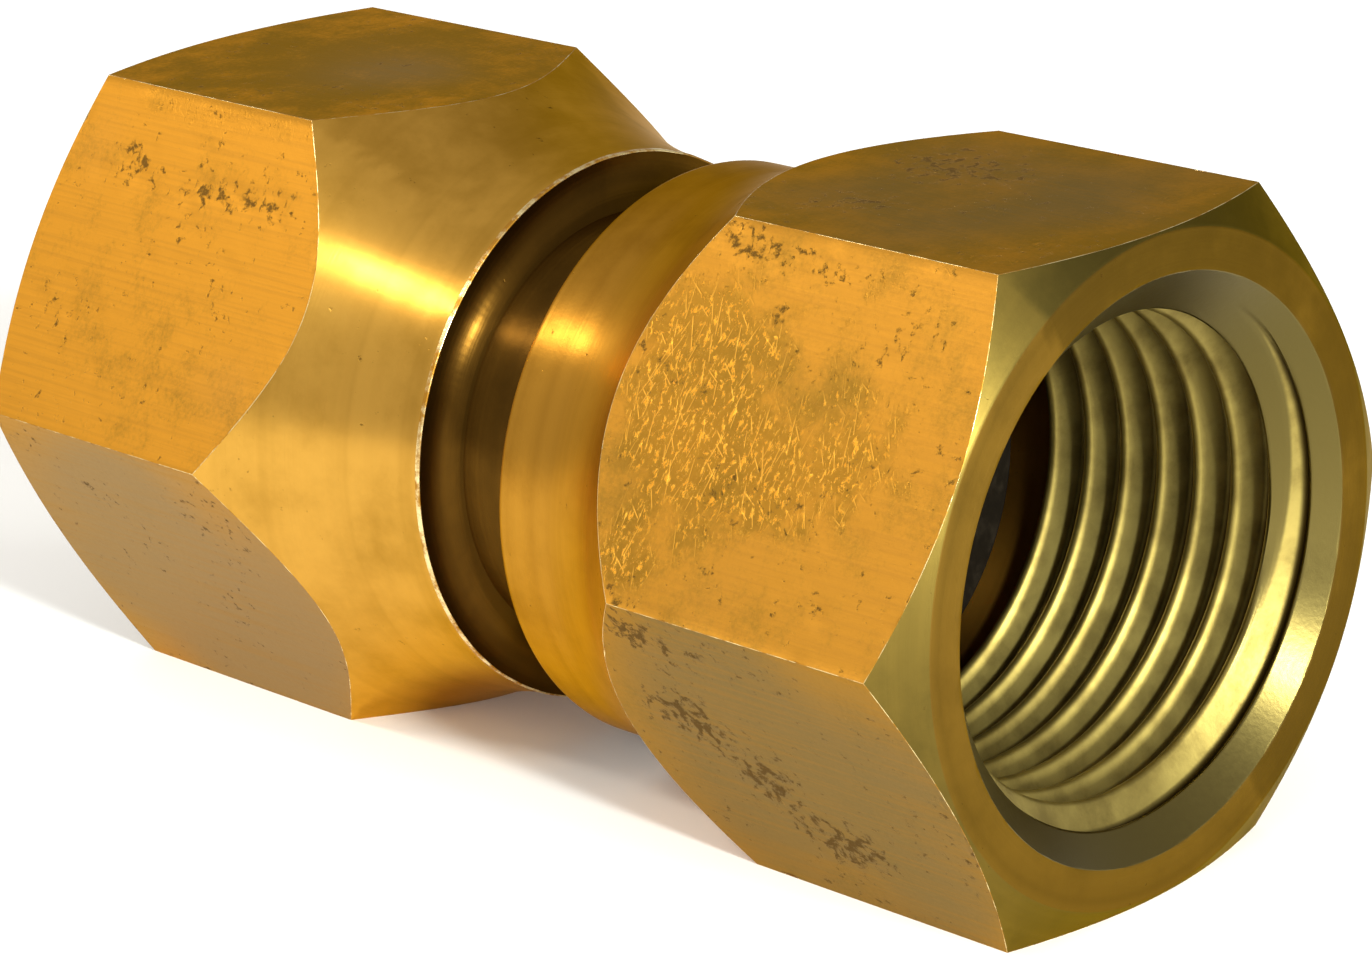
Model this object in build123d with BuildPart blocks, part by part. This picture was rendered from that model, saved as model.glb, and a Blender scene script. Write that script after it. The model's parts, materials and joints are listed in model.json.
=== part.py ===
"""Brass swivel union: a hexagonal female body and a captive, free-turning female nut.

The axis of the fitting runs along X, with the nut's mouth towards +X and the body's port towards -X.
Two flats of each hexagon face up and down, so the fitting lies on a flat. The origin is on the axis,
midway between the two end faces. Both tapped holes are drawn with plain walls at the thread's minor
radius, which is what a gauge plug touches. All sizes are in millimetres.
"""

from build123d import *
import os
from math import degrees, radians, sqrt, tan

# ---- driving dimensions ---------------------------------------------------------------------------
# Pipe thread G 1/2, the same in the nut and in the body
thread_major_diameter = 20.955
threads_per_inch = 14
thread_depth_per_pitch = 0.640327
countersink_width = 0.82  # 45 degree countersink outside the thread's roots, seen in the end face
relief_clearance = 0.12  # relief radius over the thread's major radius

# Hexagons: this much metal outside the thread's roots makes them 26 mm across flats
hex_wall = 2.5225
end_chamfer_angle = 30.0  # turned chamfer on the hexagons' end faces
end_face_inset = 0.1  # round edge of the end face inside the flats

# Lengths along the axis
nut_length = 23.0
swivel_gap = 4.7  # stem between the body's rim and the nut's collar, with the nut forward
body_length = 23.5  # port face to rim, without the stem

# Nut outside
collar_length = 9.2  # collar face to the back corners of the hexagon
collar_drop = 1.25  # flats over collar
collar_edge_chamfer = 0.35
back_cone_angle = 35.0  # turned cone behind the hexagon, from the axis
back_blend_radius = 6.0  # between that cone and the collar

# Body outside
neck_length = 9.45  # rim to the hexagon's corners
neck_arc_radius = 17.0  # the form-turned hollow of the neck
rim_drop = 1.6  # flats over rim
rim_edge_width = 0.12  # burr-thin land on the rim

# Body inside
port_thread_length = 13.8
port_relief_width = 2.4  # run-out groove behind the port's thread
drill_point_angle = 59.0  # half angle of the cone between tapping drill and waterway

# Swivel: stem, nut's rear lip and split ring
stem_thread_clearance = 0.316  # stem radius under the nut thread's minor radius
stem_wall = 2.75
stem_nose_chamfer = 0.4
lip_stem_clearance = 0.3  # radial, nut's rear hole on the stem
lip_thickness = 2.6  # rear wall of the nut that pulls on the ring
ring_wire_diameter = 1.6
ring_split = 2.6  # opening of the split ring
ring_squeeze_clearance = 0.1  # left under the lip when the ring is squeezed into its groove
ring_side_clearance = 0.1
ring_lip_clearance = 0.05
ring_thread_clearance = 0.25  # ring to thread with the nut pushed back to the rim

# Flat sealing washer on the stem's face
washer_thickness = 2.0
washer_thread_clearance = 0.366  # washer radius under the nut thread's minor radius
washer_bore_clearance = 0.1
washer_inset = 0.7  # washer face behind the thread's inner end
washer_edge_radius = 0.2

# ---- derived sizes --------------------------------------------------------------------------------
pitch = 25.4 / threads_per_inch
major_radius = thread_major_diameter / 2
minor_radius = major_radius - thread_depth_per_pitch * pitch
relief_radius = major_radius + relief_clearance
mouth_radius = major_radius + countersink_width

flat_radius = major_radius + hex_wall
corner_radius = flat_radius * 2 / sqrt(3)
end_face_radius = flat_radius - end_face_inset
end_chamfer_depth = (corner_radius - end_face_radius) * tan(radians(end_chamfer_angle))
collar_radius = flat_radius - collar_drop
rim_radius = flat_radius - rim_drop

stem_radius = minor_radius - stem_thread_clearance
bore_radius = stem_radius - stem_wall
lip_radius = stem_radius + lip_stem_clearance
ring_groove_radius = lip_radius - ring_squeeze_clearance - ring_wire_diameter
ring_groove_width = ring_wire_diameter + 2 * ring_side_clearance
nut_relief_length = ring_lip_clearance + ring_wire_diameter + swivel_gap + ring_thread_clearance

total_length = body_length + swivel_gap + nut_length
port_face_x = -total_length / 2
rim_x = port_face_x + body_length
collar_face_x = rim_x + swivel_gap
mouth_face_x = collar_face_x + nut_length
lip_front_x = collar_face_x + lip_thickness
nut_thread_end_x = lip_front_x + nut_relief_length
stem_face_x = nut_thread_end_x - washer_inset - washer_thickness
ring_x = lip_front_x + ring_lip_clearance + ring_wire_diameter / 2

blank_margin = 1.0  # how far turned blanks stand over the hexagon's corners


def thread_bore(mouth_x, thread_end_x):
    """The points of a tapped hole's wall: countersink, thread at its minor radius, step into the relief."""
    inwards = 1 if thread_end_x > mouth_x else -1
    return [
        (mouth_x, 0),
        (mouth_x, mouth_radius),
        (mouth_x + inwards * (mouth_radius - minor_radius), minor_radius),
        (thread_end_x, minor_radius),
        (thread_end_x, relief_radius),
    ]


# ---- female body: hexagon, neck, rim and stem in one piece -----------------------------------------
port_thread_end_x = port_face_x + port_thread_length
port_relief_end_x = port_thread_end_x + port_relief_width
drill_cone_length = (relief_radius - bore_radius) / tan(radians(drill_point_angle))
neck_end_x = rim_x - neck_length
ring_groove_back_x = ring_x - ring_groove_width / 2
ring_groove_front_x = ring_x + ring_groove_width / 2

with BuildPart() as female_body:
    with BuildSketch(Plane.XY):
        with BuildLine():
            Polyline(
                (stem_face_x, 0),
                (port_face_x, 0),
                (port_face_x, end_face_radius),
                (port_face_x + end_chamfer_depth, corner_radius),
                (port_face_x + end_chamfer_depth, corner_radius + blank_margin),
                (neck_end_x, corner_radius + blank_margin),
                (neck_end_x, corner_radius),
            )
            RadiusArc(
                (neck_end_x, corner_radius),
                (rim_x - rim_edge_width, rim_radius),
                -neck_arc_radius,
            )
            Polyline(
                (rim_x - rim_edge_width, rim_radius),
                (rim_x, rim_radius),
                (rim_x, stem_radius),
                (ring_groove_back_x, stem_radius),
                (ring_groove_back_x, ring_groove_radius),
                (ring_groove_front_x, ring_groove_radius),
                (ring_groove_front_x, stem_radius),
                (stem_face_x - stem_nose_chamfer, stem_radius),
                (stem_face_x, stem_radius - stem_nose_chamfer),
                (stem_face_x, 0),
            )
        make_face()
    revolve(axis=Axis.X)
    with BuildSketch(Plane.YZ.offset(port_face_x)):
        RegularPolygon(radius=flat_radius, side_count=6, major_radius=False)
    extrude(amount=stem_face_x - port_face_x, mode=Mode.INTERSECT)
    with BuildSketch(Plane.XY):
        with BuildLine():
            Polyline(
                *thread_bore(port_face_x, port_thread_end_x),
                (port_relief_end_x, relief_radius),
                (port_relief_end_x + drill_cone_length, bore_radius),
                (stem_face_x, bore_radius),
                (stem_face_x, 0),
                close=True,
            )
        make_face()
    revolve(axis=Axis.X, mode=Mode.SUBTRACT)
female_body.part.label = "female_body"

# ---- swivel nut: hexagon, round collar and rear lip ------------------------------------------------
nut_hex_back_x = collar_face_x + collar_length
back_cone_length = (corner_radius - collar_radius) / tan(radians(back_cone_angle))

with BuildPart() as swivel_nut:
    with BuildSketch(Plane.XY):
        with BuildLine():
            FilletPolyline(
                (collar_face_x + collar_edge_chamfer, collar_radius),
                (nut_hex_back_x - back_cone_length, collar_radius),
                (nut_hex_back_x, corner_radius),
                radius=back_blend_radius,
            )
            Polyline(
                (nut_hex_back_x, corner_radius),
                (nut_hex_back_x, corner_radius + blank_margin),
                (mouth_face_x - end_chamfer_depth, corner_radius + blank_margin),
                (mouth_face_x - end_chamfer_depth, corner_radius),
                (mouth_face_x, end_face_radius),
                (mouth_face_x, 0),
                (collar_face_x, 0),
                (collar_face_x, collar_radius - collar_edge_chamfer),
                (collar_face_x + collar_edge_chamfer, collar_radius),
            )
        make_face()
    revolve(axis=Axis.X)
    with BuildSketch(Plane.YZ.offset(collar_face_x)):
        RegularPolygon(radius=flat_radius, side_count=6, major_radius=False)
    extrude(amount=nut_length, mode=Mode.INTERSECT)
    with BuildSketch(Plane.XY):
        with BuildLine():
            Polyline(
                *thread_bore(mouth_face_x, nut_thread_end_x),
                (lip_front_x, relief_radius),
                (lip_front_x, lip_radius),
                (collar_face_x, lip_radius),
                (collar_face_x, 0),
                close=True,
            )
        make_face()
    revolve(axis=Axis.X, mode=Mode.SUBTRACT)
swivel_nut.part.label = "swivel_nut"

# ---- split retaining ring in the stem's groove, behind which the nut's lip bears --------------------
# Sprung open, the wire's centre line lies on the stem's surface, so it overlaps the lip by half the wire.
half_split_angle = degrees(ring_split / 2 / stem_radius)

with BuildPart() as retaining_ring:
    with BuildSketch(Plane.XY.rotated((half_split_angle, 0, 0))):
        with Locations((ring_x, stem_radius)):
            Circle(ring_wire_diameter / 2)
    revolve(axis=Axis.X, revolution_arc=360 - 2 * half_split_angle)
retaining_ring.part.label = "retaining_ring"

# ---- flat sealing washer on the stem's face ---------------------------------------------------------
with BuildPart() as sealing_washer:
    with BuildSketch(Plane.YZ.offset(stem_face_x)):
        Circle(minor_radius - washer_thread_clearance)
        Circle(bore_radius + washer_bore_clearance, mode=Mode.SUBTRACT)
    extrude(amount=washer_thickness)
    fillet(sealing_washer.edges().filter_by(GeomType.CIRCLE), radius=washer_edge_radius)
sealing_washer.part.label = "sealing_washer"

# ---- one STEP file for each piece -------------------------------------------------------------------
os.makedirs("parts", exist_ok=True)
for piece in (female_body, swivel_nut, retaining_ring, sealing_washer):
    export_step(piece.part, f"parts/{piece.part.label}.step")
    size = piece.part.bounding_box().size
    print(f"{piece.part.label}: {size.X:.2f} x {size.Y:.2f} x {size.Z:.2f} mm, {piece.part.volume:.0f} mm3")
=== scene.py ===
# %% [markdown]
# # A brass swivel union
# This lesson dresses a small pipe fitting: a hexagonal body with a turned neck, and a nut that spins on it.
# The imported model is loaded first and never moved. It says where every piece is, so all sizes below are
# either read from it or are small workshop sizes with a name.

# %% Load the frame and keep its box
import json
from itertools import pairwise
from math import atan2, cos, exp, pi, radians, sin, sqrt, tan

import bmesh
import bpy
from mathutils import Matrix, Vector, noise

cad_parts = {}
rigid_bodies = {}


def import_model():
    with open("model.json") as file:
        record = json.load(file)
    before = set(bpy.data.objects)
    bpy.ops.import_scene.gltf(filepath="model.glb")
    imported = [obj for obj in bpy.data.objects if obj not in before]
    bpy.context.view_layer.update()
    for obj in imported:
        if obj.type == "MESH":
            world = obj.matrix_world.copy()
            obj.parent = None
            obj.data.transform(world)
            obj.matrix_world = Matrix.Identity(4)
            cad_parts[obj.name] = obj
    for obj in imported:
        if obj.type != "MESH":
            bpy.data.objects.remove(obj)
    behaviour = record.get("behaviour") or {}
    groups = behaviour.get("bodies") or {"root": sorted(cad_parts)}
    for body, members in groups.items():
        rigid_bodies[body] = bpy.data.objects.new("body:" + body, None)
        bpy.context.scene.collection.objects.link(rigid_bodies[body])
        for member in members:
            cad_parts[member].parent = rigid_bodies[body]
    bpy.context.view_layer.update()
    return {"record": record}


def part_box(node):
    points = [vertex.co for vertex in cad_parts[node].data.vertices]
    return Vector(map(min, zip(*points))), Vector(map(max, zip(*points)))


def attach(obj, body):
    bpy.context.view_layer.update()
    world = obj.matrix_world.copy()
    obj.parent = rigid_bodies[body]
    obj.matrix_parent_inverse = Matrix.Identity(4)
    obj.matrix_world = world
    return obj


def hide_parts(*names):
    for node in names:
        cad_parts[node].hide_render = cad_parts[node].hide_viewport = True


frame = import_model()

# %% [markdown]
# The fitting's axis runs along X: the nut's mouth looks towards +X and the body's port towards -X. Two flats
# of each hexagon lie level, so the lower pair rests on the floor. The boxes of the four nodes give nearly
# every place along the axis, and the record's threaded holes give the thread's inner radius.

# %% Sizes read from the frame
MM = 0.001
body_low, body_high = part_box("female_body")
nut_low, nut_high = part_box("swivel_nut")
ring_low, ring_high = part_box("retaining_ring")
washer_low, washer_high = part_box("sealing_washer")
mounts = {mount["name"]: mount for mount in frame["record"]["mounts"]}

flat_radius = nut_high.z
corner_radius = 2 * flat_radius / sqrt(3)
mouth_x, collar_x = nut_high.x, nut_low.x
port_x, stem_face_x = body_low.x, body_high.x
thread_minor_radius = mounts["nut_mouth"]["dims"]["r_mm"] * MM
stem_radius = thread_minor_radius - 0.316 * MM
print(f"{2 * flat_radius / MM:.1f} mm across flats, {(mouth_x - port_x) / MM:.1f} mm long")

# %% [markdown]
# The camera stands to the right of the mouth and a little above. It is far off and has a long lens, so that
# the hexagons hardly taper. Its three axes are built from azimuth, elevation and roll.

# %% Camera
camera_azimuth, camera_elevation, camera_roll = radians(44.56), radians(19.15), radians(-2.2)
camera_place = Vector((121.7, -122.2, 58.0)) * MM
level_right = Vector((cos(camera_azimuth), sin(camera_azimuth), 0))
backwards = Vector((
    sin(camera_azimuth) * cos(camera_elevation),
    -cos(camera_azimuth) * cos(camera_elevation),
    sin(camera_elevation),
))
level_up = backwards.cross(level_right)
right = level_right * cos(camera_roll) + level_up * sin(camera_roll)
up = level_up * cos(camera_roll) - level_right * sin(camera_roll)

camera_data = bpy.data.cameras.new("camera")
camera_data.sensor_width = 36
camera_data.lens = 117.8
camera_data.clip_start = 10 * MM
camera = bpy.data.objects.new("camera", camera_data)
camera_turn = Matrix((right, up, backwards)).transposed().to_4x4()
camera.matrix_world = Matrix.Translation(camera_place) @ camera_turn
bpy.context.scene.collection.objects.link(camera)
bpy.context.scene.camera = camera
print(f"camera {camera_place.length / MM:.0f} mm from the fitting's middle")

# %% [markdown]
# Every turned piece starts the way it does on a lathe: as an outline of half its section. The outline is a
# chain of edges in the XZ plane, with X along the axis and Z as the radius. A corner that a real tool would
# leave slightly round gets a vertex bevel before the outline is spun, so one small operation rounds a whole
# circular edge.

# %% Helpers for outlines
TURN_STEPS = 192


def chain(bm, points):
    """Adds edges through (x, radius) points and returns the new vertices."""
    corners = [bm.verts.new((x, 0, radius)) for x, radius in points]
    for before, after in pairwise(corners):
        bm.edges.new((before, after))
    return corners


def round_corners(bm, corners, size, segments=3):
    """Rounds corners of an outline that hasn't been spun yet."""
    bmesh.ops.bevel(
        bm, geom=corners, offset=size, segments=segments, profile=0.5, affect="VERTICES", material=-1
    )


def spin_outline(bm, steps=TURN_STEPS):
    """Turns the whole outline about the fitting's axis into a skin."""
    outline = bm.verts[:] + bm.edges[:]
    bmesh.ops.spin(
        bm, geom=outline, cent=(0, 0, 0), axis=(1, 0, 0), angle=2 * pi, steps=steps, use_merge=True
    )


def add_arc(bm, start, centre, angle, segments):
    """Carries an outline on from its last vertex along an arc about a centre, and returns the new end."""
    swept = bmesh.ops.spin(
        bm, geom=[start], cent=(centre.x, 0, centre.y), axis=(0, -1, 0), angle=angle, steps=segments,
        use_merge=False,
    )
    return next(item for item in swept["geom_last"] if isinstance(item, bmesh.types.BMVert))


# %% [markdown]
# Hexagon bar becomes a hexagon with turned ends by turning a blank that is larger than the bar and then
# cutting the six flats through it. Each cut leaves the same curved edge that a chamfering tool leaves on a
# real nut. The open cut is closed at once, because the next cut has to pass through a solid skin. A bevel of
# a seventh of a millimetre then breaks the edges, and its faces become the worn, shiny strip that handling
# leaves on every corner.

# %% The six flats
DRAWN, TURNED, FACED, TAPPED, WORN, STEM, CHAMFER = range(7)
FLAT_ANGLES = [step * pi / 3 for step in range(6)]
sliver = 0.03 * MM
edge_break = 0.14 * MM


def flat_normal(index):
    return Vector((0, -sin(FLAT_ANGLES[index]), cos(FLAT_ANGLES[index])))


def flat_across(index):
    return Vector((0, -cos(FLAT_ANGLES[index]), -sin(FLAT_ANGLES[index])))


def flat_faces(bm):
    """The faces that lie on the hexagon's six planes."""
    return [face for face in bm.faces if face.material_index == DRAWN]


def flat_rims(bm):
    return list({edge for face in flat_faces(bm) for edge in face.edges})


def cut_flats(bm):
    """Cuts the six flats, closes them and breaks their sharp edges."""
    for face in bm.faces:
        face.material_index = TURNED
    for index in range(6):
        normal = flat_normal(index)
        cut = bmesh.ops.bisect_plane(
            bm, geom=bm.verts[:] + bm.edges[:] + bm.faces[:], dist=sliver / 100,
            plane_co=normal * flat_radius, plane_no=normal, clear_outer=True,
        )
        rim = [item for item in cut["geom_cut"] if isinstance(item, bmesh.types.BMEdge)]
        for face in bmesh.ops.edgeloop_fill(bm, edges=rim)["faces"]:
            face.material_index = DRAWN
    near_rims = list({vertex for edge in flat_rims(bm) for vertex in edge.verts})
    bmesh.ops.remove_doubles(bm, verts=near_rims, dist=sliver)
    bmesh.ops.recalc_face_normals(bm, faces=bm.faces[:])
    bmesh.ops.bevel(
        bm, geom=flat_rims(bm), offset=edge_break, offset_type="OFFSET", segments=2, profile=0.5,
        affect="EDGES", material=WORN, clamp_overlap=True,
    )


# %% [markdown]
# The thread is one pitch of its section, spun with a small advance at every step so that it climbs like a
# screw. G 1/2 has 14 threads to the inch and a right-handed helix. One pitch after a full turn the skin meets
# itself, and merging doubles welds it. The countersink is made by pushing outwards whatever lies inside its
# cone, and both ends are trimmed square.

# %% The thread
pitch = 25.4 / 14 * MM
thread_depth = 0.640327 * pitch
thread_major_radius = thread_minor_radius + thread_depth
land = pitch / 6
flank_length = thread_depth * tan(radians(27.5))
crest_round = 0.149 * MM
countersink_width = 0.82 * MM
countersink_radius = thread_major_radius + countersink_width
THREAD_STEPS = 128
FLANK_CUTS = 5
weld = 0.002 * MM


def thread_skin(low_x, high_x, mouth_face_x):
    """A right-handed female thread between low_x and high_x, countersunk at the end that is its mouth."""
    bm = bmesh.new()
    start_x = low_x - 1.2 * pitch
    turns = int((high_x - start_x) / pitch) + 2
    section = chain(bm, [
        (start_x, thread_minor_radius),
        (start_x + land / 2, thread_minor_radius),
        (start_x + land / 2 + flank_length, thread_major_radius),
        (start_x + land * 3 / 2 + flank_length, thread_major_radius),
        (start_x + land * 3 / 2 + 2 * flank_length, thread_minor_radius),
        (start_x + pitch, thread_minor_radius),
    ])
    round_corners(bm, section[1:5], crest_round, segments=3)
    long_edges = [edge for edge in bm.edges if edge.calc_length() > 2 * land]
    bmesh.ops.subdivide_edges(bm, edges=long_edges, cuts=FLANK_CUTS)
    bmesh.ops.spin(
        bm, geom=bm.verts[:] + bm.edges[:], cent=(0, 0, 0), axis=(1, 0, 0), angle=2 * pi * turns,
        steps=THREAD_STEPS * turns, dvec=(pitch / THREAD_STEPS, 0, 0), use_merge=False,
    )
    bmesh.ops.remove_doubles(bm, verts=bm.verts[:], dist=weld)
    for end_x, side in ((low_x, -1), (high_x, 1)):
        bmesh.ops.bisect_plane(
            bm, geom=bm.verts[:] + bm.edges[:] + bm.faces[:], dist=weld / 10,
            plane_co=(end_x, 0, 0), plane_no=(side, 0, 0), clear_outer=True,
        )
    for face in bm.faces:
        face.material_index = TAPPED
    for vertex in bm.verts:
        radius = vertex.co.yz.length
        cone_radius = countersink_radius - abs(mouth_face_x - vertex.co.x)
        if cone_radius > radius:
            vertex.co.yz *= cone_radius / radius
    return bm


def end_loop(bm, x):
    """The open edges of a skin that lie in the plane at x."""
    return [
        edge for edge in bm.edges
        if edge.is_boundary and all(abs(vertex.co.x - x) < weld for vertex in edge.verts)
    ]


def join_thread(bm, skin, mouth_face_x, inner_x):
    """Adds a thread skin to a turned piece and closes the two rings between them."""
    loops = {x: end_loop(bm, x) for x in (mouth_face_x, inner_x)}
    carrier = bpy.data.meshes.new("thread")
    skin.to_mesh(carrier)
    skin.free()
    first_new = len(bm.faces)
    bm.from_mesh(carrier)
    bpy.data.meshes.remove(carrier)
    bm.faces.ensure_lookup_table()
    new_edges = {edge for face in bm.faces[first_new:] for edge in face.edges}
    for x, loop in loops.items():
        other = [edge for edge in end_loop(bm, x) if edge in new_edges]
        ring = bmesh.ops.bridge_loops(bm, edges=loop + other)["faces"]
        for face in ring:
            face.material_index = FACED if x == mouth_face_x else TAPPED


# %% [markdown]
# A bar flat isn't perfect: it is slightly wavy from drawing, it has dents from the bin and from spanner jaws,
# and its edges carry small nicks. The flats are therefore cut into a fine grid, which can carry such marks
# as real shape. A UV map in millimetres is laid along and across each flat, so that a pattern can follow it.

# %% A fine grid on the flats
grid_step = 0.34 * MM
flat_spacing = 40


def grid_flats(bm, low_x, high_x):
    """Cuts the flats into small squares along and across the bar."""
    half_flat = flat_radius / sqrt(3)
    runs = [(Vector((1, 0, 0)), low_x, high_x)]
    runs += [(flat_across(index), -half_flat, half_flat) for index in range(3)]
    for direction, low, high in runs:
        count = int((high - low) / grid_step)
        faces = [face for face in flat_faces(bm) if abs(face.normal.dot(direction)) < 0.01]
        geometry = list({part for face in faces for part in (*face.verts, *face.edges)}) + faces
        for step in range(1, count):
            geometry = bmesh.ops.bisect_plane(
                bm, geom=geometry, dist=sliver / 10,
                plane_co=direction * (low + (high - low) * step / count), plane_no=direction,
            )["geom"]


def lay_uv(bm):
    """Writes each flat's place along and across the bar, in millimetres, as its UV map."""
    uv = bm.loops.layers.uv.new("bar")
    for face in bm.faces:
        centre = face.calc_center_median()
        index = round(atan2(-centre.y, centre.z) / (pi / 3)) % 6
        for loop in face.loops:
            across = loop.vert.co.dot(flat_across(index))
            loop[uv].uv = (loop.vert.co.x / MM, across / MM + flat_spacing * index)


# %% [markdown]
# Real wear isn't even. One flat took the spanner. Four fields say how much each place was worn, stained,
# pitted and covered with a dull layer of oxide and dust. Each is a little noise everywhere, plus a few soft
# patches listed one by one, and it is stored on the mesh for the materials. The tarnish and oxide patches
# that cover a whole top or lower flat are painted shade: they darken those sides for the dimmer light that
# they face. A patch has a field, a flat, a place along and across the bar, its reach both ways in
# millimetres, and an amount.

# %% Where the marks are
FIELDS = ("wear", "stain_and_shade", "pits", "film_and_shade")
TOP, FRONT, LOWER, UNDER, BACK_LOWER, BACK_UPPER = range(6)
BODY_PATCHES = [
    ("pits", FRONT, -15.5, -3.7, 4.6, 0.6, 0.6),
    ("pits", FRONT, -21.0, -4.2, 1.6, 0.7, 0.4),
    ("stain_and_shade", FRONT, -18.0, 2.5, 4.0, 3.0, 0.25),
    # The whole-flat tarnish and oxide patches below are painted shade on the top and lower flats.
    ("stain_and_shade", TOP, -17.0, 0.0, 12.0, 12.0, 0.9),
    ("film_and_shade", LOWER, -17.0, 0.0, 12.0, 12.0, 1.0),
    ("film_and_shade", TOP, -14.0, 0.0, 6.0, 4.0, 0.3),
    ("wear", FRONT, -17.0, -6.9, 7.0, 0.8, 0.7),
    ("wear", BACK_UPPER, -18.0, 1.0, 4.0, 4.0, 0.5),
    ("pits", BACK_LOWER, -14.0, 2.0, 3.0, 2.0, 0.7),
]
NUT_PATCHES = [
    ("wear", FRONT, 13.2, 0.2, 3.6, 3.4, 1.0),
    ("wear", FRONT, 12.2, -3.2, 2.4, 2.0, 0.8),
    ("wear", FRONT, 20.8, -0.6, 2.8, 2.2, 0.7),
    ("wear", FRONT, 17.0, 2.0, 3.0, 1.6, 0.6),
    ("wear", FRONT, 11.5, 5.6, 2.0, 1.4, 0.7),
    ("pits", FRONT, 12.9, -6.7, 1.1, 1.0, 0.75),
    ("pits", FRONT, 15.4, -4.3, 0.7, 0.6, 0.9),
    ("pits", FRONT, 17.8, -6.3, 2.6, 0.6, 0.45),
    ("pits", FRONT, 21.4, 5.5, 0.4, 0.4, 1.0),
    ("pits", FRONT, 12.4, 7.0, 1.6, 0.6, 0.7),
    ("stain_and_shade", FRONT, 17.5, -1.8, 3.4, 1.5, 0.4),
    ("stain_and_shade", FRONT, 15.6, 2.8, 2.6, 1.8, 0.4),
    ("stain_and_shade", FRONT, 10.2, 2.6, 1.6, 2.4, 0.5),
    ("pits", TOP, 15.0, -2.4, 4.6, 1.8, 0.5),
    ("pits", TOP, 14.4, 3.2, 2.8, 1.3, 0.5),
    # The whole-flat tarnish and oxide patches below are painted shade on the top and lower flats.
    ("stain_and_shade", TOP, 18.0, 0.0, 12.0, 12.0, 0.4),
    ("film_and_shade", LOWER, 18.0, 0.0, 12.0, 12.0, 1.0),
    ("film_and_shade", TOP, 18.0, 0.0, 12.0, 12.0, 0.5),
    ("pits", LOWER, 12.6, -1.6, 1.8, 1.2, 1.0),
    ("pits", LOWER, 15.4, 0.8, 2.0, 1.6, 1.0),
    ("pits", LOWER, 18.6, 3.8, 2.2, 1.4, 1.0),
    ("pits", LOWER, 12.4, -6.2, 1.4, 0.9, 0.9),
    ("stain_and_shade", TOP, 25.6, 0.0, 1.0, 9.0, 1.0),
    ("stain_and_shade", BACK_UPPER, 25.6, 0.0, 1.0, 9.0, 0.9),
    ("stain_and_shade", BACK_LOWER, 25.6, 0.0, 1.0, 9.0, 0.9),
    ("wear", BACK_UPPER, 16.0, 1.5, 4.5, 2.4, 0.5),
    ("pits", BACK_LOWER, 18.0, -2.0, 3.0, 2.0, 0.8),
    ("stain_and_shade", UNDER, 16.0, 0.0, 6.0, 4.0, 0.8),
]
print(f"{len(BODY_PATCHES)} patches on the body, {len(NUT_PATCHES)} on the nut")

# %% [markdown]
# Marks also have depth. The flats get a slow wave and small craters where the pits field is strong, and the
# vertices between a flat and its worn edge are knocked inwards here and there, which leaves nicks.

# %% Weather the skin
wave_height = 0.012 * MM
pit_depth = 0.045 * MM
chip_depth = 0.12 * MM


def patchy(place, size, seed):
    """Smooth noise from 0 to 1 whose patches are about size millimetres wide."""
    return 0.5 + 0.5 * noise.noise(place / (size * MM) + Vector((seed, seed * 2, 0)))


def weather(bm, patches, seed):
    """Stores the four fields and moves the grid inwards where they leave a mark."""
    layers = {field: bm.verts.layers.float.new(field) for field in FIELDS}
    for vertex in bm.verts:
        place = vertex.co.copy()
        radius = Vector((place.y, place.z)).length
        index = round(atan2(-place.y, place.z) / (pi / 3)) % 6
        across = place.dot(flat_across(index)) / MM
        values = {
            "wear": 0.55 * patchy(place, 5, seed) - 0.1,
            "stain_and_shade": 0.6 * patchy(place, 4, seed + 7) - 0.15,
            "pits": 0.9 * patchy(place, 3, seed + 13) - 0.3,
            "film_and_shade": 0.5 * patchy(place, 6, seed + 19) - 0.1,
        }
        for field, flat, middle, side, reach, side_reach, amount in patches:
            if flat == index and radius > stem_radius:
                far = ((place.x / MM - middle) / reach) ** 2 + ((across - side) / side_reach) ** 2
                values[field] += amount * exp(-far)
        for field in FIELDS:
            vertex[layers[field]] = min(max(values[field], 0), 1)
        kinds = {face.material_index for face in vertex.link_faces}
        normal = flat_normal(index)
        if kinds == {DRAWN}:
            crater = max(patchy(place, 0.55, seed + 3) + 0.5 * vertex[layers["pits"]] - 0.78, 0)
            vertex.co -= normal * (wave_height * patchy(place, 6, seed) + pit_depth * min(3 * crater, 1))
        elif WORN in kinds and DRAWN in kinds:
            chip = max(patchy(place, 0.8, seed + 5) - 0.62, 0) * 3
            vertex.co -= normal * chip_depth * min(chip, 1)


# %% [markdown]
# The faced end and the chamfer around it are found by their place. A finished piece gets smooth normals that
# are weighted by area, so that large flats stay flat right up to their rounded edges.

# %% Finishes and the finished piece
chamfer_reach = 1.3 * MM


def mark_end_faces(bm, end_x):
    """Gives the faced end and its chamfer their own finishes."""
    for face in bm.faces:
        centre = face.calc_center_median()
        if face.material_index == TURNED and abs(centre.x - end_x) < chamfer_reach:
            face.material_index = CHAMFER if centre.yz.length > end_face_radius else FACED


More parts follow.
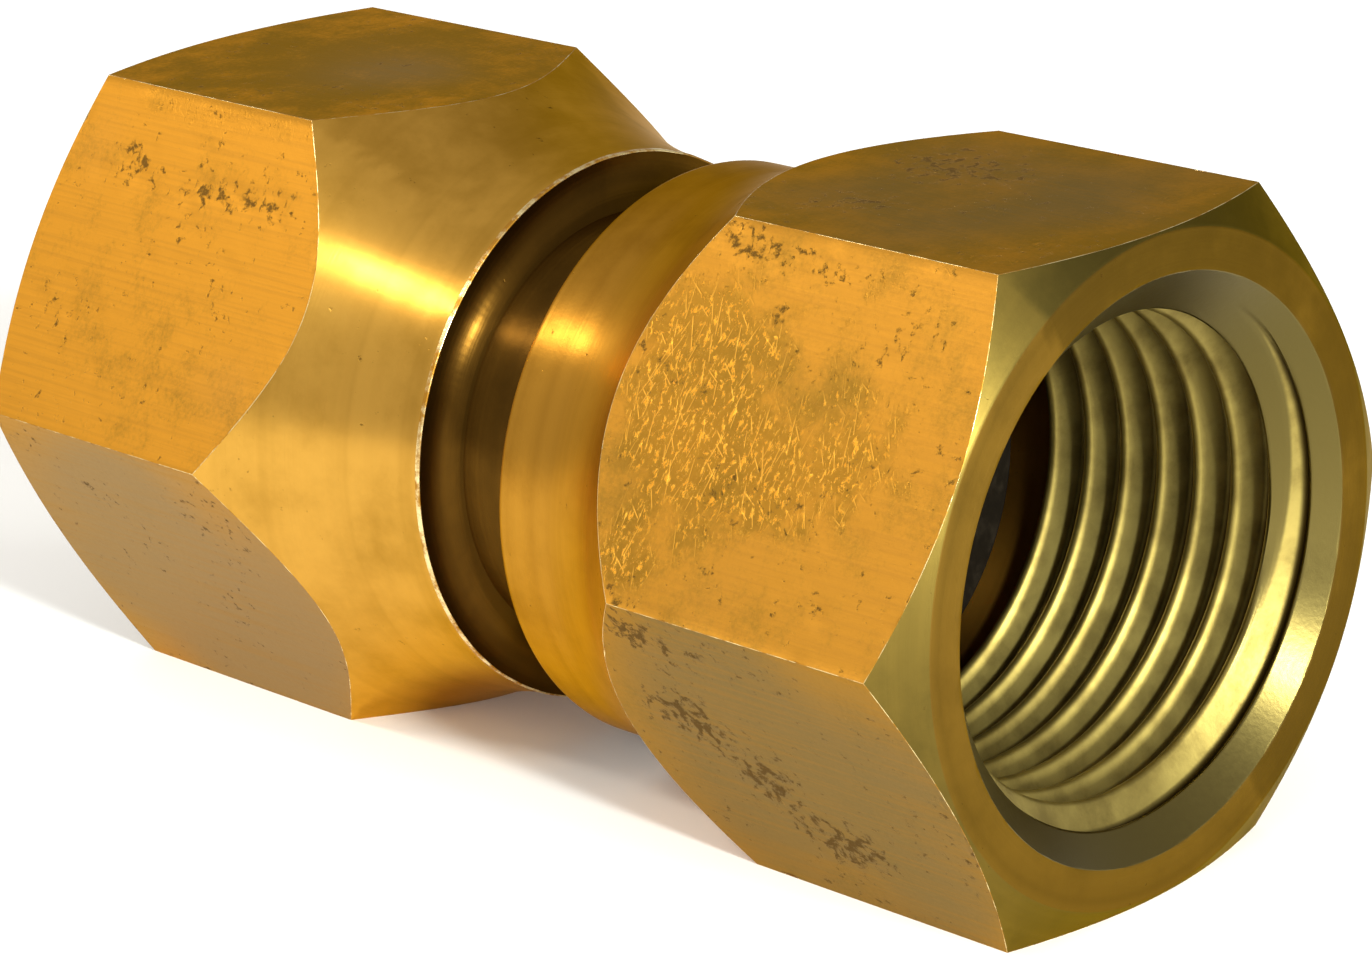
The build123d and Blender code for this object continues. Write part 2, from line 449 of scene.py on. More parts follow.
def finish_piece(name, bm, body, node, materials):
    """Makes the object, lets it ride on its body and stand for its CAD node."""
    bmesh.ops.recalc_face_normals(bm, faces=bm.faces[:])
    open_edges = sum(edge.is_boundary for edge in bm.edges)
    for face in bm.faces:
        face.smooth = True
    normals = [
        sum((face.normal * face.calc_area() for face in vertex.link_faces), Vector()).normalized()
        for vertex in bm.verts
    ]
    mesh = bpy.data.meshes.new(name)
    bm.to_mesh(mesh)
    bm.free()
    mesh.normals_split_custom_set_from_vertices(normals)
    for material in materials:
        mesh.materials.append(material)
    piece = bpy.data.objects.new(name, mesh)
    bpy.context.scene.collection.objects.link(piece)
    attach(piece, body)
    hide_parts(node)
    triangles = sum(len(polygon.vertices) - 2 for polygon in mesh.polygons)
    print(f"{name}: {triangles} triangles, {open_edges} open edges")
    return piece


# %% [markdown]
# The body is one turning: the port's end face with its chamfer, the hexagon, the hollow neck that a form
# tool leaves, the sharp rim, and the stem that the nut spins on. The hollow is an arc of 17 mm radius between
# the hexagon's corners and the rim.

# %% Body sizes
end_face_radius = flat_radius - 0.1 * MM
chamfer_slope = tan(radians(30))
blank_radius = corner_radius + 1.0 * MM
mouth_edge = 0.15 * MM

rim_radius = flat_radius - 1.6 * MM
rim_x = collar_x - 4.7 * MM
rim_land = 0.2 * MM
neck_length = 9.45 * MM
neck_radius = 17.0 * MM
bore_radius = stem_radius - 2.75 * MM
relief_radius = thread_major_radius + 0.12 * MM
port_thread_end_x = port_x + 13.8 * MM
port_relief_end_x = port_thread_end_x + 2.4 * MM
ring_x = (ring_low.x + ring_high.x) / 2
wire_radius = (ring_high.x - ring_low.x) / 2
lip_radius = stem_radius + 0.3 * MM
ring_gap = 0.1 * MM
ring_groove_radius = lip_radius - ring_gap - 2 * wire_radius
ring_groove_half = wire_radius + ring_gap
drill_slope = tan(radians(59))
stem_end_round = 0.4 * MM
rim_round = 0.08 * MM
face_round = 0.1 * MM
flats_end_x = rim_x - 4 * MM

neck_start = Vector((rim_x - neck_length, corner_radius))
neck_end = Vector((rim_x - rim_land, rim_radius))
chord = neck_end - neck_start
bulge = sqrt(neck_radius**2 - (chord.length / 2) ** 2)
neck_centre = (neck_start + neck_end) / 2 + Vector((-chord.y, chord.x)).normalized() * bulge
neck_overrun = 0.06
start_angle = atan2(neck_start.y - neck_centre.y, neck_start.x - neck_centre.x) - neck_overrun
neck_angle = start_angle - atan2(neck_end.y - neck_centre.y, neck_end.x - neck_centre.x)
print("hollow's centre at", [round(value / MM, 2) for value in neck_centre])

# %% [markdown]
# The outline starts behind the far thread, runs through the bore to the stem's end, and comes back over the
# ring's groove to the rim. There the hollow is swept by spinning the last vertex about the arc's centre. It
# runs on a little past the corners that the flats will cut off, and meets the outside of the blank.

# %% Body outline
body_mesh = bmesh.new()
inner_corners = chain(body_mesh, [
    (port_thread_end_x, relief_radius),
    (port_relief_end_x, relief_radius),
    (port_relief_end_x + (relief_radius - bore_radius) / drill_slope, bore_radius),
    (stem_face_x, bore_radius),
    (stem_face_x, stem_radius),
    (ring_x + ring_groove_half, stem_radius),
    (ring_x + ring_groove_half, ring_groove_radius),
    (ring_x - ring_groove_half, ring_groove_radius),
    (ring_x - ring_groove_half, stem_radius),
    (rim_x, stem_radius),
    (rim_x, rim_radius),
    neck_end,
])
neck_top = add_arc(body_mesh, inner_corners[-1], neck_centre, neck_angle, segments=28)
outer_corners = chain(body_mesh, [
    (port_x + (blank_radius - end_face_radius) * chamfer_slope, blank_radius),
    (port_x, end_face_radius),
    (port_x, countersink_radius + mouth_edge),
])
body_mesh.edges.new((neck_top, outer_corners[0]))
round_corners(body_mesh, [inner_corners[4]], stem_end_round)
round_corners(body_mesh, [inner_corners[10]], rim_round)
round_corners(body_mesh, [outer_corners[-2]], face_round, segments=2)
spin_outline(body_mesh)
cut_flats(body_mesh)
mark_end_faces(body_mesh, port_x)
grid_flats(body_mesh, port_x, flats_end_x)
join_thread(body_mesh, thread_skin(port_x, port_thread_end_x, port_x), port_x, port_thread_end_x)
print(f"body: {len(body_mesh.faces)} faces before its marks")

# %% [markdown]
# Where the form tool ran out, a burr as thin as foil stands on the rim. Its land gets the shiny finish of a
# worn edge, and a little noise moves it in and out, so that it catches light unevenly. Everything beyond the
# rim, with the rim's back wall, is the stem. Its dark brown finish is painted shade for the groove between
# the body and the nut.

# %% Burr on the rim
burr_height = 0.07 * MM


def on_rim(vertex):
    return abs(vertex.co.x - rim_x) < 1.5 * rim_land and vertex.co.yz.length > rim_radius - rim_land


# Faces beyond the rim take the stem's finish, whose dark brown is painted shade in the groove.
for face in body_mesh.faces:
    if face.material_index == TURNED and face.calc_center_median().x > rim_x - weld:
        face.material_index = STEM
    if all(on_rim(vertex) for vertex in face.verts):
        face.material_index = WORN
for vertex in body_mesh.verts:
    if on_rim(vertex):
        burr = burr_height * (patchy(vertex.co, 1.1, 2) - 0.5)
        vertex.co.yz *= 1 + burr / rim_radius
        vertex.co.x += burr
weather(body_mesh, BODY_PATCHES, seed=1)
lay_uv(body_mesh)

# %% [markdown]
# The nut is turned from the same bar. Behind its hexagon a 35 degree cone runs down to a round collar, with
# a soft blend between them. Inside are the thread, a plain relief and the lip that pulls on the ring.

# %% Nut outline
collar_radius = flat_radius - 1.25 * MM
back_slope = tan(radians(35))
hex_back_x = collar_x + 9.2 * MM
cone_foot_x = hex_back_x - (corner_radius - collar_radius) / back_slope
lip_front_x = collar_x + 2.6 * MM
nut_thread_end_x = lip_front_x + 6.6 * MM
blend_reach = 1.9 * MM
collar_round = 0.35 * MM
lip_round = 0.15 * MM

nut_mesh = bmesh.new()
nut_corners = chain(nut_mesh, [
    (nut_thread_end_x, relief_radius),
    (lip_front_x, relief_radius),
    (lip_front_x, lip_radius),
    (collar_x, lip_radius),
    (collar_x, collar_radius),
    (cone_foot_x, collar_radius),
    (hex_back_x + (blank_radius - corner_radius) / back_slope, blank_radius),
    (mouth_x - (blank_radius - end_face_radius) * chamfer_slope, blank_radius),
    (mouth_x, end_face_radius),
    (mouth_x, countersink_radius + mouth_edge),
])
round_corners(nut_mesh, [nut_corners[5]], blend_reach, segments=10)
round_corners(nut_mesh, [nut_corners[4]], collar_round)
round_corners(nut_mesh, [nut_corners[3]], lip_round)
round_corners(nut_mesh, [nut_corners[-2]], face_round, segments=2)
spin_outline(nut_mesh)
cut_flats(nut_mesh)
mark_end_faces(nut_mesh, mouth_x)
grid_flats(nut_mesh, cone_foot_x, mouth_x)
join_thread(nut_mesh, thread_skin(nut_thread_end_x, mouth_x, mouth_x), mouth_x, nut_thread_end_x)
weather(nut_mesh, NUT_PATCHES, seed=4)
lay_uv(nut_mesh)
print(f"nut: {len(nut_mesh.faces)} faces")

# %% [markdown]
# The retaining ring is round wire bent into a circle and cut once, so its section is spun nearly all the way
# round and its two ends are closed. The washer is stamped from sheet rubber: a small rectangle with soft
# corners, spun fully.

# %% Ring and washer
WIRE_SIDES = 20
split_width = 2.6 * MM
half_split = split_width / 2 / stem_radius
wire_end_round = 0.08 * MM
washer_round = 0.2 * MM

ring_mesh = bmesh.new()
bmesh.ops.create_circle(ring_mesh, segments=WIRE_SIDES, radius=wire_radius)
bmesh.ops.translate(ring_mesh, verts=ring_mesh.verts[:], vec=(ring_x, stem_radius, 0))
bmesh.ops.rotate(
    ring_mesh, verts=ring_mesh.verts[:], cent=(0, 0, 0), matrix=Matrix.Rotation(half_split, 3, "X")
)
bmesh.ops.spin(
    ring_mesh, geom=ring_mesh.verts[:] + ring_mesh.edges[:], cent=(0, 0, 0), axis=(1, 0, 0),
    angle=2 * pi - 2 * half_split, steps=TURN_STEPS // 2, use_merge=False,
)
bmesh.ops.holes_fill(ring_mesh, edges=[edge for edge in ring_mesh.edges if edge.is_boundary])
end_edges = [edge for edge in ring_mesh.edges if any(len(face.verts) > 4 for face in edge.link_faces)]
bmesh.ops.bevel(
    ring_mesh, geom=end_edges, offset=wire_end_round, segments=2, profile=0.5, affect="EDGES", material=-1
)

washer_mesh = bmesh.new()
washer_inner = bore_radius + 0.1 * MM
washer_outer = washer_high.z
washer_corners = chain(washer_mesh, [
    (washer_low.x, washer_inner),
    (washer_low.x, washer_outer),
    (washer_high.x, washer_outer),
    (washer_high.x, washer_inner),
])
washer_mesh.edges.new((washer_corners[-1], washer_corners[0]))
round_corners(washer_mesh, washer_corners, washer_round)
spin_outline(washer_mesh)
print(f"ring: {len(ring_mesh.faces)} faces, washer: {len(washer_mesh.faces)} faces")

# %% [markdown]
# Now the finishes. Two helpers keep the node trees short: one turns an sRGB hex colour into the linear
# numbers that a socket wants, and one adds a node with its settings and its links and returns an output.
# A Map Range node turns a value softly into a share, and a Mix node blends two colours by that share. Noise
# on a flat needs only the two coordinates of its UV map.

# %% Helpers for materials
SMOOTH = {"interpolation_type": "SMOOTHSTEP"}
COLOURS = {"data_type": "RGBA"}
PLANAR = {"noise_dimensions": "2D"}


def linear(hex_colour):
    """An sRGB hex colour as linear red, green, blue and alpha."""
    channels = [int(hex_colour[start:start + 2], 16) / 255 for start in (1, 3, 5)]
    return (*(c / 12.92 if c <= 0.04045 else ((c + 0.055) / 1.055) ** 2.4 for c in channels), 1)


def add(tree, kind, settings, links, output=0):
    """Adds a node. Settings are its properties or unlinked inputs; links join its inputs to outputs."""
    node = tree.nodes.new("ShaderNode" + kind)
    for key, value in settings.items():
        if isinstance(key, str) and key in node.bl_rna.properties:
            setattr(node, key, value)
        else:
            node.inputs[key].default_value = value
    for key, socket in links.items():
        tree.links.new(socket, node.inputs[key])
    return node.outputs[output]


def start_material(name):
    """A material with its node tree and its Principled shader."""
    material = bpy.data.materials.new(name)
    material.use_nodes = True
    return material, material.node_tree, material.node_tree.nodes["Principled BSDF"]


# %% [markdown]
# Scratches are short straight lines that cross each other at odd angles. One Voronoi cell holds one scratch:
# the cell's own random colour turns it, and two ramps limit its width and its length. All sizes are in
# millimetres, because the flats' UV map is. The real lines are a few hundredths of a millimetre wide. They
# are drawn about twice as wide here, since thinner ones couldn't be seen from where the camera stands. Each
# kind of scratch has a spacing, a length, a width, a lean and the spread of that lean in radians.

# %% Scratches
SCRATCH_KINDS = [
    (1.3, 2.2, 0.045, pi / 2, 0.8),
    (0.7, 1.0, 0.040, 1.9, 1.4),
    (4.3, 3.8, 0.040, 1.2, 2.6),
]


def scratches(tree, place, spacing, length, width, lean, spread):
    """A mask of scratches, one to a cell, that lean by an angle with some spread."""
    cell = add(tree, "TexVoronoi", {"voronoi_dimensions": "2D", "Scale": 1 / spacing}, {"Vector": place}, 2)
    chance = add(tree, "SeparateColor", {}, {0: cell.node.outputs["Color"]}, 0)
    offset = add(tree, "VectorMath", {"operation": "SUBTRACT"}, {0: place, 1: cell})
    turn = add(tree, "Math", {"operation": "MULTIPLY_ADD", 1: spread, 2: lean - spread / 2}, {0: chance})
    turned = add(tree, "VectorRotate", {"rotation_type": "Z_AXIS"}, {"Vector": offset, "Angle": turn})
    along = add(tree, "SeparateXYZ", {}, {0: turned}, 0)
    side = add(tree, "Math", {"operation": "ABSOLUTE"}, {0: along.node.outputs[1]})
    reach = add(tree, "Math", {"operation": "ABSOLUTE"}, {0: along})
    thin = add(
        tree, "MapRange", SMOOTH | {"From Min": 0, "From Max": width, "To Min": 1, "To Max": 0},
        {"Value": side}
    )
    short = add(
        tree, "MapRange", SMOOTH | {"From Min": length / 4, "From Max": length / 2, "To Min": 1, "To Max": 0},
        {"Value": reach}
    )
    drawn = add(tree, "Math", {"operation": "MULTIPLY"}, {0: thin, 1: short})
    present = add(tree, "Math", {"operation": "GREATER_THAN", 1: 0.4}, {0: chance.node.outputs[1]})
    return add(tree, "Math", {"operation": "MULTIPLY"}, {0: drawn, 1: present})


# %% [markdown]
# Drawn brass: hexagon bar pulled cold through a die. The die leaves faint lines along the bar. Handling then
# adds scratches that show fresh yellow metal, tarnish in soft brown and olive clouds, and pits that hold dark
# grime. Roughness near 0.4 gives the flats their even satin glow.

# %% Drawn brass for the flats
edge_tint = "#EBD2A0"


def drawn_brass(name, gold, film_and_shade_colour, clean, scratch_share):
    material, tree, shader = start_material(name)
    wear, stain_and_shade, pits, film_and_shade = [
        add(tree, "Attribute", {"attribute_name": field}, {}, "Fac") for field in FIELDS
    ]
    place = add(tree, "UVMap", {"uv_map": "bar"}, {})
    warp = add(tree, "TexNoise", PLANAR | {"Scale": 0.8, "Detail": 1}, {"Vector": place}, 1)
    bent = add(tree, "VectorMath", {"operation": "MULTIPLY_ADD", 1: (0.5, 0.5, 0)}, {0: warp, 2: place})
    drawn = add(tree, "VectorMath", {"operation": "MULTIPLY", 1: (0.1, 6.0, 1)}, {0: place})
    die_lines = add(tree, "TexNoise", PLANAR | {"Scale": 1, "Detail": 4}, {"Vector": drawn})
    cloud = add(tree, "TexNoise", PLANAR | {"Scale": 0.55, "Detail": 8, "Roughness": 0.62}, {"Vector": place})
    grain = add(tree, "TexNoise", PLANAR | {"Scale": 4.5, "Detail": 5, "Roughness": 0.7}, {"Vector": place})

    # Tarnish, a dull layer of oxide and the die's lines. Where the tarnish and oxide fields cover a whole top
    # or lower flat, their colours are painted shade.
    mottled = add(tree, "Math", {"operation": "MULTIPLY_ADD", 1: 0.7}, {0: grain, 2: cloud})
    stained = add(tree, "Math", {"operation": "MULTIPLY_ADD", 1: 0.8}, {0: stain_and_shade, 2: mottled})
    share = add(
        tree, "MapRange", SMOOTH | {"From Min": clean, "From Max": clean + 0.7}, {"Value": stained}
    )
    colour = add(tree, "Mix", COLOURS | {6: linear(gold), 7: linear("#967029")}, {0: share}, 2)
    share = add(
        tree, "MapRange", SMOOTH | {"From Min": 0.2, "From Max": 1.0, "To Max": 0.9}, {"Value": film_and_shade}
    )
    colour = add(tree, "Mix", COLOURS | {7: linear(film_and_shade_colour)}, {0: share, 6: colour}, 2)
    share = add(
        tree, "MapRange", SMOOTH | {"From Min": 0.4, "From Max": 0.75, "To Max": 0.25},
        {"Value": die_lines}
    )
    colour = add(tree, "Mix", COLOURS | {7: linear("#A8762F")}, {0: share, 6: colour}, 2)

    # Scratches where handling wore the tarnish away, and bright flecks that are partly bared metal and partly
    # painted glints.
    marks, *others = [scratches(tree, place, *kind) for kind in SCRATCH_KINDS]
    for layer in others:
        marks = add(tree, "Math", {"operation": "MAXIMUM"}, {0: marks, 1: layer})
    worn = add(tree, "Math", {"operation": "MULTIPLY_ADD", 1: 0.8}, {0: wear, 2: cloud})
    worn = add(
        tree, "MapRange",
        SMOOTH | {"From Min": 0.72, "From Max": 1.25, "To Min": 0.02, "To Max": scratch_share},
        {"Value": worn}
    )
    marks = add(tree, "Math", {"operation": "MULTIPLY"}, {0: marks, 1: worn})
    upright = add(tree, "VectorMath", {"operation": "MULTIPLY", 1: (4.5, 2.4, 1)}, {0: bent})
    fleck_and_glint = add(tree, "TexNoise", PLANAR | {"Scale": 1, "Detail": 5, "Roughness": 0.75}, {"Vector": upright})
    share = add(tree, "MapRange", SMOOTH | {"From Min": 0.52, "From Max": 0.64}, {"Value": fleck_and_glint})
    fleck_and_glint = add(tree, "Math", {"operation": "MULTIPLY"}, {0: share, 1: worn})
    dulled = add(
        tree, "MapRange", SMOOTH | {"From Min": 0.1, "From Max": 0.9, "To Max": 0.55}, {"Value": worn}
    )
    colour = add(tree, "Mix", COLOURS | {7: linear("#8E6822")}, {0: dulled, 6: colour}, 2)
    # Painted glints: the flecks' bright colour, over partly bared metal.
    share = add(
        tree, "MapRange", SMOOTH | {"From Min": 0, "From Max": 1, "To Max": 0.8}, {"Value": fleck_and_glint}
    )
    colour = add(tree, "Mix", COLOURS | {7: linear("#F8AC38")}, {0: share, 6: colour}, 2)
    share = add(
        tree, "MapRange", SMOOTH | {"From Min": 0, "From Max": 1, "To Max": 0.6}, {"Value": marks}
    )
    colour = add(tree, "Mix", COLOURS | {7: linear("#FFBC4A")}, {0: share, 6: colour}, 2)

    # Grime that fills the pits.
    blot = add(tree, "TexNoise", PLANAR | {"Scale": 1.9, "Detail": 7, "Roughness": 0.68}, {"Vector": bent})
    spots = add(tree, "Math", {"operation": "MULTIPLY_ADD", 1: 0.24}, {0: pits, 2: blot})
    grime = add(
        tree, "MapRange", SMOOTH | {"From Min": 0.67, "From Max": 0.8, "To Max": 0.85}, {"Value": spots}
    )
    colour = add(tree, "Mix", COLOURS | {7: linear("#553C18")}, {0: grime, 6: colour}, 2)

    # Flecks are smoother than the satin around them, grime is duller, and each has its own height.
    rough = add(tree, "Math", {"operation": "MULTIPLY_ADD", 1: 0.12, 2: 0.38}, {0: grain})
    rough = add(tree, "Math", {"operation": "MULTIPLY_ADD", 1: -0.12}, {0: fleck_and_glint, 2: rough})
    rough = add(tree, "Math", {"operation": "MULTIPLY_ADD", 1: 0.25}, {0: grime, 2: rough})
    metal = add(tree, "Math", {"operation": "MULTIPLY_ADD", 1: -0.25, 2: 1.0}, {0: grime})

    height = add(tree, "Math", {"operation": "MULTIPLY_ADD", 1: 0.12}, {0: die_lines, 2: fleck_and_glint})
    height = add(tree, "Math", {"operation": "MULTIPLY_ADD", 1: 0.15}, {0: grain, 2: height})
    height = add(tree, "Math", {"operation": "MULTIPLY_ADD", 1: -0.6}, {0: marks, 2: height})
    height = add(tree, "Math", {"operation": "MULTIPLY_ADD", 1: -1.2}, {0: grime, 2: height})
    bump = add(tree, "Bump", {"Strength": 1.0, "Distance": 0.02 * MM}, {"Height": height})
    shader.inputs["Specular Tint"].default_value = linear(edge_tint)
    results = {"Base Color": colour, "Roughness": rough, "Metallic": metal, "Normal": bump}
    for socket, source in results.items():
        tree.links.new(source, shader.inputs[socket])
    return material


# %% [markdown]
# Turned brass: a lathe tool leaves fine rings around the axis, a tenth of a millimetre apart or less. They
# are drawn 0.16 mm apart here, since finer ones couldn't be seen from where the camera stands. Rings spread a
# highlight along the axis and keep it narrow around it. That is what anisotropy does: its tangent runs around
# the axis, and a quarter turn makes the streak cross the rings. The rings are noise on two coordinates only,
# the place along the axis and the radius, so they run round every cone and curve.

# %% Turned brass for necks, collars and end faces
ring_spacing = 0.16 * MM
band_spacing = 1.1 * MM
quarter_turn = 0.25


def turned_brass(name, gold, brown, roughness, anisotropy, ring_height):
    material, tree, shader = start_material(name)
    stain_and_shade = add(tree, "Attribute", {"attribute_name": "stain_and_shade"}, {}, "Fac")
    pits = add(tree, "Attribute", {"attribute_name": "pits"}, {}, "Fac")
    place = add(tree, "TexCoord", {}, {}, "Object")
    x = add(tree, "SeparateXYZ", {}, {0: place}, 0)
    section = add(tree, "CombineXYZ", {}, {1: x.node.outputs[1], 2: x.node.outputs[2]})
    radius = add(tree, "VectorMath", {"operation": "LENGTH"}, {0: section}, "Value")
    rings_at = add(tree, "CombineXYZ", {}, {0: x, 1: radius})
    fine = add(tree, "TexNoise", PLANAR | {"Scale": 1 / ring_spacing, "Detail": 2}, {"Vector": rings_at})
    broad = add(tree, "TexNoise", PLANAR | {"Scale": 1 / band_spacing, "Detail": 2}, {"Vector": rings_at})
    cloud = add(tree, "TexNoise", {"Scale": 1 / (3.5 * MM), "Detail": 8, "Roughness": 0.6}, {"Vector": place})
    speck = add(tree, "TexNoise", {"Scale": 1 / (0.4 * MM), "Detail": 3, "Roughness": 0.6}, {"Vector": place})

    # The tarnish field: where a whole-flat patch reaches over the top of a neck or collar, its brown is
    # painted shade.
    stained = add(tree, "Math", {"operation": "MULTIPLY_ADD", 1: 0.4}, {0: stain_and_shade, 2: cloud})
    share = add(
        tree, "MapRange", SMOOTH | {"From Min": 0.42, "From Max": 0.95, "To Max": 0.8}, {"Value": stained}
    )
    colour = add(tree, "Mix", COLOURS | {6: linear(gold), 7: linear(brown)}, {0: share}, 2)
    share = add(
        tree, "MapRange", SMOOTH | {"From Min": 0.4, "From Max": 0.8, "To Max": 0.35}, {"Value": broad}
    )
    colour = add(tree, "Mix", COLOURS | {7: linear(brown)}, {0: share, 6: colour}, 2)
    spots = add(tree, "Math", {"operation": "MULTIPLY_ADD", 1: 0.25}, {0: pits, 2: speck})
    grime = add(
        tree, "MapRange", SMOOTH | {"From Min": 0.74, "From Max": 0.86, "To Max": 0.8}, {"Value": spots}
    )
    colour = add(tree, "Mix", COLOURS | {7: linear("#4A3312")}, {0: grime, 6: colour}, 2)

    rough = add(tree, "Math", {"operation": "MULTIPLY_ADD", 1: 0.12, 2: roughness - 0.06}, {0: cloud})
    rough = add(tree, "Math", {"operation": "MULTIPLY_ADD", 1: 0.25}, {0: grime, 2: rough})
    height = add(tree, "Math", {"operation": "MULTIPLY_ADD", 1: 0.5}, {0: fine, 2: broad})
    height = add(tree, "Math", {"operation": "MULTIPLY_ADD", 1: 0.25}, {0: speck, 2: height})
    height = add(tree, "Math", {"operation": "MULTIPLY_ADD", 1: -1.0}, {0: grime, 2: height})
    bump = add(tree, "Bump", {"Strength": 1.0, "Distance": ring_height}, {"Height": height})
    around = add(tree, "Tangent", {"direction_type": "RADIAL", "axis": "X"}, {})
    shader.inputs["Metallic"].default_value = 1
    shader.inputs["Specular Tint"].default_value = linear(edge_tint)
    shader.inputs["Anisotropic"].default_value = anisotropy
    shader.inputs["Anisotropic Rotation"].default_value = quarter_turn
    results = {"Base Color": colour, "Roughness": rough, "Normal": bump, "Tangent": around}
    for socket, source in results.items():
        tree.links.new(source, shader.inputs[socket])
    return material


# %% [markdown]
# Tapped brass: a tap cuts the crests clean. Their dull olive is partly tarnish and partly painted shade, and
# the dark brown in the roots is painted shade: both stand for the little light that gets into the bore and
# down between the flanks. The root colour therefore follows the depth of the thread, which is simply the
# radius, and the countersink, a cone on which radius and distance from the middle grow together, is left out
# of it and has its own colour.

# %% Tapped brass for the threads
def tapped_brass(name):
    material, tree, shader = start_material(name)
    place = add(tree, "TexCoord", {}, {}, "Object")
    x = add(tree, "SeparateXYZ", {}, {0: place}, 0)
    section = add(tree, "CombineXYZ", {}, {1: x.node.outputs[1], 2: x.node.outputs[2]})
    radius = add(tree, "VectorMath", {"operation": "LENGTH"}, {0: section}, "Value")
    cloud = add(tree, "TexNoise", {"Scale": 1 / (2.0 * MM), "Detail": 6, "Roughness": 0.6}, {"Vector": place})
    speck = add(
        tree, "TexNoise", {"Scale": 1 / (0.25 * MM), "Detail": 4, "Roughness": 0.6}, {"Vector": place}
    )
    mouthward = add(tree, "Math", {"operation": "ABSOLUTE"}, {0: x})
    over_cone = add(tree, "Math", {"operation": "SUBTRACT"}, {0: radius, 1: mouthward})
    cone_level = countersink_radius - mouth_x
    cone_edge = {"From Min": cone_level + 0.02 * MM, "From Max": cone_level + 0.1 * MM}
    on_cone = add(tree, "MapRange", SMOOTH | cone_edge | {"To Min": 1, "To Max": 0}, {"Value": over_cone})
    # Painted shade: the roots darken with their depth.
    root_range = {"From Min": thread_minor_radius + 0.8 * thread_depth, "From Max": thread_major_radius}
    depth = add(tree, "MapRange", SMOOTH | root_range, {"Value": radius})
    share = add(
        tree, "MapRange", SMOOTH | {"From Min": 0, "From Max": 1, "To Min": 1, "To Max": 0},
        {"Value": on_cone}
    )
    depth = add(tree, "Math", {"operation": "MULTIPLY"}, {0: depth, 1: share})
    share = add(tree, "MapRange", SMOOTH | {"From Min": 0.35, "From Max": 0.7}, {"Value": cloud})
    # Dull crest colours, partly tarnish and partly painted shade for the dim bore.
    crest = add(tree, "Mix", COLOURS | {6: linear("#A89450"), 7: linear("#82703A")}, {0: share}, 2)
    colour = add(tree, "Mix", COLOURS | {7: linear("#33270E")}, {0: depth, 6: crest}, 2)
    colour = add(tree, "Mix", COLOURS | {7: linear("#6C5E32")}, {0: on_cone, 6: colour}, 2)
    grime = add(
        tree, "MapRange", SMOOTH | {"From Min": 0.66, "From Max": 0.85, "To Max": 0.25}, {"Value": speck}
    )
    colour = add(tree, "Mix", COLOURS | {7: linear("#4A3A18")}, {0: grime, 6: colour}, 2)
    rough = add(tree, "Math", {"operation": "MULTIPLY_ADD", 1: -0.14, 2: 0.40}, {0: on_cone})
    rough = add(tree, "Math", {"operation": "MULTIPLY_ADD", 1: 0.1}, {0: speck, 2: rough})
    bump = add(tree, "Bump", {"Strength": 1.0, "Distance": 0.006 * MM}, {"Height": speck})
    shader.inputs["Metallic"].default_value = 1
    results = {"Base Color": colour, "Roughness": rough, "Normal": bump}
    for socket, source in results.items():
        tree.links.new(source, shader.inputs[socket])
    return material


# %% [markdown]
# Worn edges: handling burnishes every corner until it is paler and smoother than the faces beside it. Between
# the polished stretches some of the old tarnish stays.

# %% Worn brass for the edges
def worn_brass(name, pale):
    material, tree, shader = start_material(name)
    wear = add(tree, "Attribute", {"attribute_name": "wear"}, {}, "Fac")
    place = add(tree, "TexCoord", {}, {}, "Object")
    stretch = add(
        tree, "TexNoise", {"Scale": 1 / (0.9 * MM), "Detail": 5, "Roughness": 0.7}, {"Vector": place}
    )
    polished = add(tree, "Math", {"operation": "MULTIPLY_ADD", 1: 0.3}, {0: wear, 2: stretch})
    polished = add(tree, "MapRange", SMOOTH | {"From Min": 0.46, "From Max": 0.66}, {"Value": polished})
    colour = add(tree, "Mix", COLOURS | {6: linear("#B07C2A"), 7: linear(pale)}, {0: polished}, 2)
    rough = add(
        tree, "MapRange", SMOOTH | {"From Min": 0, "From Max": 1, "To Min": 0.42, "To Max": 0.24},
        {"Value": polished}
    )
    bump = add(tree, "Bump", {"Strength": 1.0, "Distance": 0.03 * MM}, {"Height": stretch})
    shader.inputs["Metallic"].default_value = 1
    results = {"Base Color": colour, "Roughness": rough, "Normal": bump}
    for socket, source in results.items():
        tree.links.new(source, shader.inputs[socket])
    return material


# %% [markdown]
# Phosphor bronze wire is redder than brass and drawn smooth. Moulded nitrile rubber is black with a soft
# sheen and a fine bloom of grey dust, which keeps it from looking like a hole.

# %% Bronze wire and rubber
def bronze_wire():
    material, tree, shader = start_material("drawn_phosphor_bronze_wire")
    place = add(tree, "TexCoord", {}, {}, "Object")
    cloud = add(tree, "TexNoise", {"Scale": 1 / (0.6 * MM), "Detail": 5}, {"Vector": place})
    share = add(tree, "MapRange", SMOOTH | {"From Min": 0.35, "From Max": 0.7}, {"Value": cloud})
    colour = add(tree, "Mix", COLOURS | {6: linear("#C98A4B"), 7: linear("#7E4F26")}, {0: share}, 2)
    bump = add(tree, "Bump", {"Strength": 1.0, "Distance": 0.01 * MM}, {"Height": cloud})
    shader.inputs["Metallic"].default_value = 1
    shader.inputs["Roughness"].default_value = 0.33
    tree.links.new(colour, shader.inputs["Base Color"])
    tree.links.new(bump, shader.inputs["Normal"])
    return material


